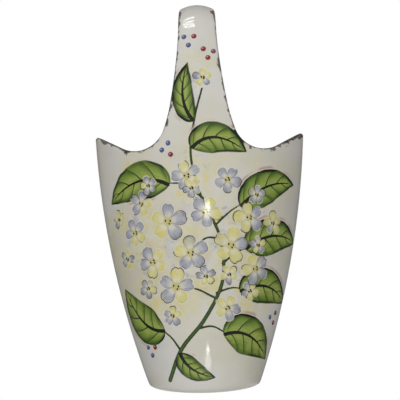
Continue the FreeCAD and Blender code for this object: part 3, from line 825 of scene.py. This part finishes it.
class Flow:
    """A number that runs through a node tree."""

    def __init__(self, socket):
        self.socket = socket
        self.tree = socket.id_data

    def math(self, operation, *others):
        """The outcome of one of the math node's operations on this number and others."""
        node = self.tree.nodes.new("ShaderNodeMath")
        node.operation = operation
        for slot, value in zip(node.inputs, (self, *others)):
            feed(slot, value)
        return Flow(node.outputs[0])

    def __add__(self, other):
        return self.math("ADD", other)

    def __sub__(self, other):
        return self.math("SUBTRACT", other)

    def __mul__(self, other):
        return self.math("MULTIPLY", other)

    def __truediv__(self, other):
        return self.math("DIVIDE", other)

    __radd__ = __add__
    __rmul__ = __mul__

    def __rsub__(self, other):
        return (self * -1) + other

    def over(self, low, high):
        """Goes softly from 0 to 1 as the number goes from low to high."""
        node = new_node(self.tree, "MapRange", {"Value": self, "From Min": low, "From Max": high})
        node.interpolation_type = "SMOOTHSTEP"
        return Flow(node.outputs["Result"])

    def under(self, low, high):
        """Goes softly from 1 to 0 as the number goes from low to high."""
        return 1 - self.over(low, high)


def feed(socket, value):
    """Put a number, a colour or another node's output into a socket."""
    if isinstance(value, Flow):
        value = value.socket
    if isinstance(value, bpy.types.NodeSocket):
        socket.id_data.links.new(value, socket)
    else:
        socket.default_value = value


def new_node(tree, kind, values=None):
    """A node of a kind, with values or flows put into the sockets of these names."""
    node = tree.nodes.new("ShaderNode" + kind)
    for name, value in (values or {}).items():
        feed(node.inputs[name], value)
    return node


def triple(x, y, z):
    """A vector of three numbers, the first of which is a flow."""
    return new_node(x.tree, "CombineXYZ", {"X": x, "Y": y, "Z": z}).outputs[0]


def split(vector):
    """The three numbers of a vector."""
    node = new_node(vector.id_data, "SeparateXYZ", {"Vector": vector})
    return [Flow(output) for output in node.outputs]


def attribute(tree, name, output="Fac"):
    """A number that is stored on the piece."""
    node = tree.nodes.new("ShaderNodeAttribute")
    node.attribute_name = name
    return Flow(node.outputs[output])


def attribute_triple(tree, name):
    """Three numbers that are stored on the piece."""
    return split(attribute(tree, name, "Vector").socket)


def noise(place, scale, detail=2, roughness=0.5):
    """Soft random variation between 0 and 1 at a scale given in waves per unit."""
    values = {"Vector": place, "Scale": scale, "Detail": detail, "Roughness": roughness}
    return Flow(new_node(place.id_data, "TexNoise", values).outputs["Fac"])


def chance(first, second, third=0):
    """A random number between 0 and 1 that stays the same for the same whole numbers."""
    node = new_node(first.tree, "TexWhiteNoise", {"Vector": triple(first, second, third)})
    return Flow(node.outputs["Value"])


def blend(below, above, share):
    """One colour painted over another by a share."""
    node = share.tree.nodes.new("ShaderNodeMix")
    node.data_type = "RGBA"
    sockets = {socket.identifier: socket for socket in (*node.inputs, *node.outputs)}
    for name, value in (("Factor_Float", share), ("A_Color", below), ("B_Color", above)):
        feed(sockets[name], value)
    return sockets["Result_Color"]


# The colours of the glaze and of the paint.
GLAZE = linear(199, 197, 191)
GLAZE_WARM = linear(191, 187, 161)
GLAZE_COOL = linear(189, 187, 189)
WASH_YELLOW = linear(196, 187, 128)
WASH_PINK = linear(193, 172, 160)
WASH_BLUE = linear(172, 174, 186)
STEM_DARK = linear(38, 56, 26)
STEM_LIGHT = linear(74, 94, 44)
LEAF_LIGHT = linear(142, 158, 78)
LEAF_MID = linear(100, 124, 46)
LEAF_DARK = linear(46, 70, 26)
LEAF_YELLOW = linear(176, 172, 92)
INK = linear(22, 28, 16)
LEAF_SHADOW = linear(166, 132, 122)
HALO = linear(206, 200, 184)
PETAL_PALE = linear(206, 204, 190)
PETAL_LILAC = linear(142, 144, 160)
PETAL_SLATE = linear(98, 104, 122)
PETAL_YELLOW = linear(200, 190, 112)
PETAL_GREEN = linear(172, 176, 116)
PETAL_CENTRE = linear(178, 166, 74)
BLACK_INK = linear(22, 20, 22)
BERRY_BLUE = linear(74, 86, 128)
BERRY_RED = linear(134, 36, 40)
BERRY_LIGHT = linear(176, 172, 190)
SPECK_BROWN = linear(56, 42, 36)
SPECK_MAROON = linear(88, 44, 44)
CLAY = linear(196, 180, 156)
CLAY_DARK = linear(172, 152, 126)

# How the glaze and the bare clay mirror.
GLAZE_IOR = 1.45
GLAZE_ROUGHNESS = 0.09
CLAY_ROUGHNESS = 0.85

# Where the wiped clay gives way to the glaze: heights over the foot, and how far the border wanders.
WIPED_HEIGHTS = (0.0003, 0.0007)
WIPE_WANDER = 0.0008

# The brush: counts, and lengths in millimetres on the unrolled front.
LEAF_VEINS = 5
LEAF_WOBBLE = 2.2
MIDRIB_HALF_WIDTH = 1.7
VEIN_HALF_WIDTH = 1.5
SLIVER = 0.0001
PETALS = 5
DOTS = 3
DOT_SHIFT = 0.07
DOT_PLACE_SHARE = 0.13
PETAL_WOBBLE_SHARE = 0.16
BERRY_LIGHT_PLACE = 0.7

# In the painting, noise takes a scale in waves per metre and its detail, and over and under take the values
# between which a share changes. A last factor says how much of the colour goes on.


def coats(ground, *pairs):
    """A ground under coats of paint, each a colour and how much of it goes on."""
    for colour, share in pairs:
        ground = blend(ground, colour, share)
    return ground


def paint_ground(place):
    """Cream glaze with soft warm and cool clouds."""
    _, _, height = split(place)
    warm = noise(place, 17, 3).over(0.36, 0.72) * mix(0.3, 0.7, height.under(-0.05, 0.02))
    cool = noise(place, 26, 2, 0.6).over(0.5, 0.72)
    return coats(GLAZE, (GLAZE_WARM, warm), (GLAZE_COOL, cool * 0.5))


def paint_washes(tree, ground, place):
    """Thin yellow, pink and blue washes that the brush left round the blossoms."""
    yellow, pink, blue = attribute_triple(tree, "wash")
    dabs = noise(place, 112, 4, 0.62)
    return coats(
        ground,
        (WASH_YELLOW, yellow * noise(place, 62, 3, 0.55).over(0.36, 0.66) * 0.62),
        (WASH_PINK, pink * noise(place, 80).over(0.52, 0.72) * 0.4),
        (WASH_BLUE, blue * noise(place, 71).under(0.34, 0.5) * 0.45),
        (PETAL_LILAC, blue.over(0.25, 0.6) * dabs.over(0.56, 0.68) * 0.55),
        (PETAL_YELLOW, yellow.over(0.25, 0.6) * dabs.under(0.34, 0.46) * 0.55),
    )


def paint_stems(tree, ground, place):
    """Dark green stems with a paler core."""
    gap = attribute(tree, "stem") + (noise(place, 420) - 0.5) * 0.5
    return coats(ground, (STEM_DARK, gap.under(-0.15, 0.15)), (STEM_LIGHT, gap.under(-1.5, -0.5) * 0.7))


def paint_leaves(tree, ground, layer, place):
    """Leaves with airbrushed bands between dark brushed veins, and a soft shadow on one side."""
    along, aside, distance = attribute_triple(tree, "leaf_%d_place" % layer)
    half, length, number = attribute_triple(tree, "leaf_%d_mark" % layer)
    number = number.math("ROUND")
    held = along.math("MAXIMUM", SLIVER).math("MINIMUM", 1 - SLIVER)
    reach = held.math("POWER", LEAF_BASE_POWER) * (1 - held).math("POWER", LEAF_TIP_POWER)
    reach = reach * half / LEAF_MOST
    gap = reach - distance + (noise(place, 110) - 0.5) * LEAF_WOBBLE * along.over(0.02, 0.2)
    fill = distance / reach.math("MAXIMUM", 0.6)
    right = aside.over(-0.1, 0.1)

    phase = along * LEAF_VEINS - fill * 0.9 + right * 0.45 + chance(number, 3) * 0.6
    band = phase.math("FRACT")
    streak = noise(triple(along * 3, aside * 0.9, number), 1.6, 3)
    vein_half = (1 - fill) * VEIN_HALF_WIDTH
    vein = (band * length / LEAF_VEINS).under(vein_half, vein_half + 0.3) * fill.under(0.55, 0.8)
    vein = vein * along.over(0.04, 0.08) * along.under(0.8, 0.9)
    middle = aside.math("ABSOLUTE") - (1 - along) * MIDRIB_HALF_WIDTH
    leaf = coats(
        LEAF_LIGHT,
        (LEAF_MID, fill.over(0.15, 0.95) + (noise(place, 95) - 0.5) * 1.2),
        (LEAF_YELLOW, noise(place, 60).over(0.55, 0.75) * 0.5),
        (LEAF_DARK, band.under(0, 0.55) * fill.over(0.05, 0.7) * 0.75),
        (LEAF_DARK, streak.over(0.5, 0.78) * 0.5),
        (LEAF_DARK, gap.under(0.4, 5) * mix(0.5, 0.95, right)),
        (INK, vein * 0.9),
        (INK, middle.under(-0.05, 0.3) * along.under(0.86, 0.96)),
    )

    beside = gap * -1
    lifted = noise(place, 48, 1)
    shaded = along.over(0.06, 0.22) * along.under(0.72, 0.95) * right
    halo = beside.over(-0.2, 0.3) * beside.under(0.8, 1.4) * shaded
    shadow = beside.over(0.8, 1.3) * beside.under(2.2, 4) * shaded * lifted.over(0.4, 0.55)
    line = 0.2 + lifted.over(0.38, 0.62) * 2
    outline = gap.over(-0.55, -0.25) * gap.under(line - 0.3, line) * distance.under(30, 31)
    return coats(
        ground,
        (HALO, halo * 0.8),
        (LEAF_SHADOW, shadow * 0.75),
        (leaf, gap.over(-0.1, 0.3)),
        (INK, outline * mix(0.75, 1, right)),
    )


def paint_blossoms(tree, ground, layer, place):
    """Open blossoms of rounded watercolour petals, with a few ink arcs and dots."""
    x, y, distance = attribute_triple(tree, "bloom_%d_place" % layer)
    radius, number, _ = attribute_triple(tree, "bloom_%d_mark" % layer)
    number = number.math("ROUND")
    turn = y.math("ARCTAN2", x) * (PETALS / math.tau)
    petal = (turn + 0.5).math("FLOOR")
    aside = (turn - petal).math("ABSOLUTE")
    petal = petal.math("FLOORED_MODULO", PETALS)
    lobe = (aside * math.pi).math("COSINE").math("MAXIMUM", 0).math("POWER", 0.3)
    notch = aside.under(0, 0.13) * chance(petal, number, 2) * 0.1
    size = 0.86 + chance(petal, number, 1) * 0.14
    edge = (lobe - notch + (noise(place, 130) - 0.5) * PETAL_WOBBLE_SHARE) * size
    spread = distance / radius
    gap = (edge - spread) * radius
    near = spread.under(1.06, 1.12)

    tone = chance(petal, number, 3).over(0.44, 0.5)
    tint = blend(PETAL_YELLOW, PETAL_LILAC, tone)
    deep = blend(PETAL_GREEN, PETAL_SLATE, tone)
    fill = spread / edge.math("MAXIMUM", 0.05)
    cloud = noise(place, 150, 3)
    streak = noise(triple(x / distance * 5, y / distance * 5, distance * 0.12), 1.6)
    petals = coats(
        PETAL_PALE,
        (tint, fill.over(0.15, 0.8) * 0.85 + (cloud - 0.5) * 0.9),
        (deep, streak.over(0.5, 0.72) * fill.over(0.2, 0.8) * 0.55),
        (deep, gap.under(0.2, 2.4) * cloud.over(0.38, 0.6) * 0.85),
        (deep, aside.over(0.34, 0.5) * spread.under(0.5, 0.9) * 0.55),
        (PETAL_CENTRE, spread.under(0.12, 0.36) * 0.75),
    )

    drawn = chance(petal, number, 4).over(0.42, 0.46) * noise(place, 75, 1).over(0.42, 0.5)
    arc = (gap + 0.5).math("ABSOLUTE").under(0.35, 0.62) * drawn * spread.over(0.35, 0.45)
    dots = 0
    for step in range(DOTS):
        angle = math.tau * step * (1 / DOTS + DOT_SHIFT)
        off_x = x - radius * (DOT_PLACE_SHARE * math.cos(angle))
        off_y = y - radius * (DOT_PLACE_SHARE * math.sin(angle))
        away = (off_x * off_x + off_y * off_y * 0.45).math("SQRT")
        dots = away.under(0.55, 0.85).math("MAXIMUM", dots)
    return coats(
        ground,
        (HALO, gap.over(-1.2, -0.5) * gap.under(0, 0.4) * near * 0.7),
        (petals, gap.over(0, 0.5) * near * 0.96),
        (BLACK_INK, arc * near * 0.9),
        (BLACK_INK, dots * near),
    )


def paint_berries(tree, ground, place):
    """Small round berries in blue and red, each with a dark rim and a light spot."""
    x, y, distance = attribute_triple(tree, "berry_place")
    _, number, _ = attribute_triple(tree, "berry_mark")
    gap = BERRY_RADIUS - distance + (noise(place, 300) - 0.5) * 0.9
    off_x = x + BERRY_LIGHT_PLACE
    off_y = y - BERRY_LIGHT_PLACE
    light = (off_x * off_x + off_y * off_y).math("SQRT").under(0.3, 1.1)
    berry = coats(
        BERRY_BLUE,
        (BERRY_RED, chance(number.math("ROUND"), 5).over(0.48, 0.52)),
        (BLACK_INK, gap.under(0.1, 1.1) * 0.45),
        (BERRY_LIGHT, light * 0.7),
    )
    return blend(ground, berry, gap.over(0, 0.4))


def paint_edges(tree, ground, place):
    """Broken brown brushwork along the rim and the strap, thicker on the ears and the crown."""
    edge = attribute(tree, "edge")
    close = attribute(tree, "corner").under(2, 8)
    patch = noise(place, 66)
    ragged = noise(place, 460, 3, 0.6)
    brown = blend(SPECK_BROWN, SPECK_MAROON, noise(place, 90).over(0.5, 0.64))
    shown = patch.over(0.43, 0.5).math("MAXIMUM", close)
    reach = patch.over(0.46, 0.7) * 5.2 + close * 6.5 + (ragged - 0.5) * 6
    line = noise(place, 46) + (ragged - 0.5) * 0.15
    width = 1.5 + noise(place, 105).over(0.45, 0.65) * 2.4
    return coats(
        ground,
        (brown, edge.under(reach - 0.6, reach + 0.8) * shown * 0.85),
        (SPECK_BROWN, edge.under(width, width + 1) * line.over(0.31, 0.42) * 0.8),
    )


def new_material(name):
    """A material, its node tree, and the place of each point on the object."""
    material = bpy.data.materials.new(name)
    material.use_nodes = True
    tree = material.node_tree
    return material, tree, new_node(tree, "TexCoord").outputs["Object"]


def glaze_surface(material, colour, bare=None):
    """A glossy fired glaze over a colour, which dulls where the clay is bare."""
    inputs = material.node_tree.nodes["Principled BSDF"].inputs
    feed(inputs["Base Color"], colour)
    feed(inputs["IOR"], GLAZE_IOR)
    roughness = GLAZE_ROUGHNESS
    if bare is not None:
        roughness = (bare * CLAY_ROUGHNESS).math("MAXIMUM", GLAZE_ROUGHNESS)
    feed(inputs["Roughness"], roughness)


def painted_glaze():
    """Glaze with the whole painting on it, from its lowest layer to its highest."""
    material, tree, place = new_material("painted_glaze")
    colour = paint_washes(tree, paint_ground(place), place)
    colour = paint_stems(tree, colour, place)
    for paint in (paint_leaves, paint_blossoms):
        for layer in (1, 0):
            colour = paint(tree, colour, layer, place)
    colour = paint_berries(tree, colour, place)
    glaze_surface(material, paint_edges(tree, colour, place))
    return material


def plain_glaze():
    """The glaze alone."""
    material, _, place = new_material("plain_glaze")
    glaze_surface(material, paint_ground(place))
    return material


def foot_clay():
    """Glaze round the foot, and bare clay where the potter wiped the underside."""
    material, _, place = new_material("foot_clay")
    _, _, height = split(place)
    ragged = (noise(place, 120, 3) - 0.5) * WIPE_WANDER
    bare = (height + NAIL_HEIGHT + ragged).under(*WIPED_HEIGHTS)
    clay = blend(CLAY, CLAY_DARK, noise(place, 900, 4, 0.7).over(0.35, 0.75))
    glaze_surface(material, blend(paint_ground(place), clay, bare), bare)
    return material


def dress(piece, material, node):
    """Give a piece its finish and let it stand for a node of the model."""
    piece.data.materials.append(material)
    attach(piece, "root")
    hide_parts(node)


def make_vase():
    """The four pieces in their finishes."""
    random = np.random.default_rng(WASH_SEED)
    painted = painted_glaze()
    for make, node in ((make_front_wall, "front_wall"), (make_strap, "handle_strap")):
        piece, across, height, outside, edge, corner = make()
        layout = paint_layout(across, height, outside, random)
        for name, values in (*layout.items(), ("edge", edge), ("corner", corner)):
            keep(piece, name, values)
        dress(piece, painted, node)
    dress(make_back_wall(), plain_glaze(), "back_wall")
    dress(make_floor(), foot_clay(), "floor")


# The studio.

CAMERA_PLACE = (-0.00075, -1.0, -0.1256)
CAMERA_ROLL = math.radians(-1.26)
CAMERA_LENS = 95.54
SENSOR_WIDTH = 36.0
FLOOR_LEVEL = -0.90
FLOOR_RADIUS = 1.1
FLOOR_COLOUR = linear(236, 236, 234)
FLOOR_SEGMENTS = 96
FLOOR_ROUGHNESS = 0.9
FLOOR_GLOW = 0.32
ROOM_LIGHT = 0.12
FRONT_LIGHT = 0.36
TOP_LIGHT = 0.16
BEHIND = (0.90, 0.99)


def make_camera():
    """The camera of the photo, a metre in front of the wall."""
    data = bpy.data.cameras.new("camera")
    data.lens = CAMERA_LENS
    data.sensor_width = SENSOR_WIDTH
    camera = put_in_scene("camera", data)
    turn = Matrix.Rotation(math.pi / 2, 4, "X") @ Matrix.Rotation(CAMERA_ROLL, 4, "Z")
    camera.matrix_world = Matrix.Translation(CAMERA_PLACE) @ turn
    bpy.context.scene.camera = camera


def make_floor_disc():
    """A pale floor far below, which glows for the camera only and takes the shadow."""
    circle = FLOOR_RADIUS * around(np.linspace(0, math.tau, FLOOR_SEGMENTS + 1)[:-1])
    disc = make_piece("studio_floor", columns(*circle.T, FLOOR_LEVEL), [list(range(FLOOR_SEGMENTS))])
    material, tree, _ = new_material("studio_floor")
    inputs = tree.nodes["Principled BSDF"].inputs
    feed(inputs["Base Color"], FLOOR_COLOUR)
    feed(inputs["Roughness"], FLOOR_ROUGHNESS)
    feed(inputs["Emission Color"], FLOOR_COLOUR)
    seen = Flow(new_node(tree, "LightPath").outputs["Is Camera Ray"])
    feed(inputs["Emission Strength"], seen * FLOOR_GLOW)
    disc.data.materials.append(material)


def make_world():
    """Soft room light, brighter from the front and above, and a white background for the camera."""
    world = bpy.data.worlds.new("studio")
    world.use_nodes = True
    bpy.context.scene.world = world
    tree = world.node_tree
    background = tree.nodes["Background"]
    feed(background.inputs["Color"], (1, 1, 1, 1))
    _, away, up = split(new_node(tree, "TexCoord").outputs["Generated"])
    front = (away * -1).math("MAXIMUM", 0)
    above = up.math("MAXIMUM", 0)
    room = ROOM_LIGHT + front * FRONT_LIGHT + above * TOP_LIGHT
    rays = new_node(tree, "LightPath").outputs
    behind = away.over(*BEHIND)
    seen = Flow(rays["Is Camera Ray"]).math("MAXIMUM", Flow(rays["Is Glossy Ray"]) * behind)
    seen = seen.math("MAXIMUM", Flow(rays["Is Transmission Ray"]))
    feed(background.inputs["Strength"], seen + (1 - seen) * room)


def aim(place, target):
    """A matrix that stands at a place and looks at a target."""
    away = Vector(place) - Vector(target)
    return Matrix.Translation(place) @ away.to_track_quat("Z", "Y").to_matrix().to_4x4()


# Soft lamps that light the glaze: name, place, target, width, height and power in watts.
SOFT_LAMPS = (
    ("key_light", (-0.6, -1.6, 0.9), (0, 0, -0.1), 0.9, 0.9, 11.5),
    ("front_light", (0, -1.8, 0.1), (0, 0, -0.1), 0.7, 0.7, 9.6),
    ("fill_light", (1.1, -1.4, 0.3), (0, 0, -0.1), 0.9, 0.9, 2.0),
    ("back_light", (0.5, 1.6, 0.7), (0, 0, -0.1), 1.2, 1.2, 25.0),
)

# Small bright windows that the glaze mirrors, in the same terms.
GLINTS = (
    ("front_glint", (0.137, -1.25, -0.29), (0.005, -0.07, -0.135), 0.12, 0.05, 0.40),
    ("low_glint", (0.062, -0.617, -0.578), (0.003, -0.054, -0.259), 0.042, 0.007, 0.050),
    ("low_glow", (0.060, -0.575, -0.590), (0.003, -0.053, -0.270), 0.100, 0.026, 0.060),
)

# Ceiling tubes that the top of the strap mirrors, each in a near and a far part: name, left end, right end,
# thickness and power in watts.
TUBES = (
    ("high_near", (-0.38, -0.56, 1.29), (-0.10, -0.52, 1.35), 0.090, 1.90),
    ("high_far", (-0.56, -0.68, 1.15), (-0.38, -0.56, 1.29), 0.080, 1.20),
    ("middle_near", (-0.41, -0.87, 1.10), (-0.11, -0.82, 1.20), 0.060, 1.75),
    ("middle_far", (-0.57, -0.85, 1.04), (-0.41, -0.87, 1.10), 0.028, 0.42),
    ("low_near", (-0.40, -0.96, 1.03), (-0.12, -1.03, 1.04), 0.015, 0.68),
    ("low_far", (-0.51, -0.91, 1.02), (-0.40, -0.96, 1.03), 0.010, 0.17),
)
TUBE_TARGET = (-0.012, -0.057, 0.036)


def aim_along(left, right, target):
    """A matrix that lies between two ends, with its width along them, and looks at a target."""
    middle = (Vector(left) + Vector(right)) / 2
    along = (Vector(right) - Vector(left)).normalized()
    away = middle - Vector(target)
    away = (away - away.project(along)).normalized()
    turn = Matrix((along, away.cross(along), away)).transposed()
    return Matrix.Translation(middle) @ turn.to_4x4()


def make_lamp(name, stand, width, height, power, mirrored_only):
    """A lamp either lights the scene or is mirrored by the glaze, so that both can be set alone."""
    data = bpy.data.lights.new(name, "AREA")
    data.shape = "RECTANGLE"
    data.size = width
    data.size_y = height
    data.energy = power
    lamp = put_in_scene(name, data)
    lamp.matrix_world = stand
    lamp.visible_camera = False
    lamp.visible_glossy = mirrored_only
    lamp.visible_diffuse = not mirrored_only


def make_lamps():
    """Every lamp of the studio."""
    for lamps, mirrored_only in ((SOFT_LAMPS, False), (GLINTS, True)):
        for name, place, target, width, height, power in lamps:
            make_lamp(name, aim(place, target), width, height, power, mirrored_only)
    for name, left, right, thickness, power in TUBES:
        stand = aim_along(left, right, TUBE_TARGET)
        make_lamp(name, stand, math.dist(left, right), thickness, power, True)


make_vase()
make_camera()
make_floor_disc()
make_world()
make_lamps()
bpy.context.scene.view_settings.view_transform = "Standard"
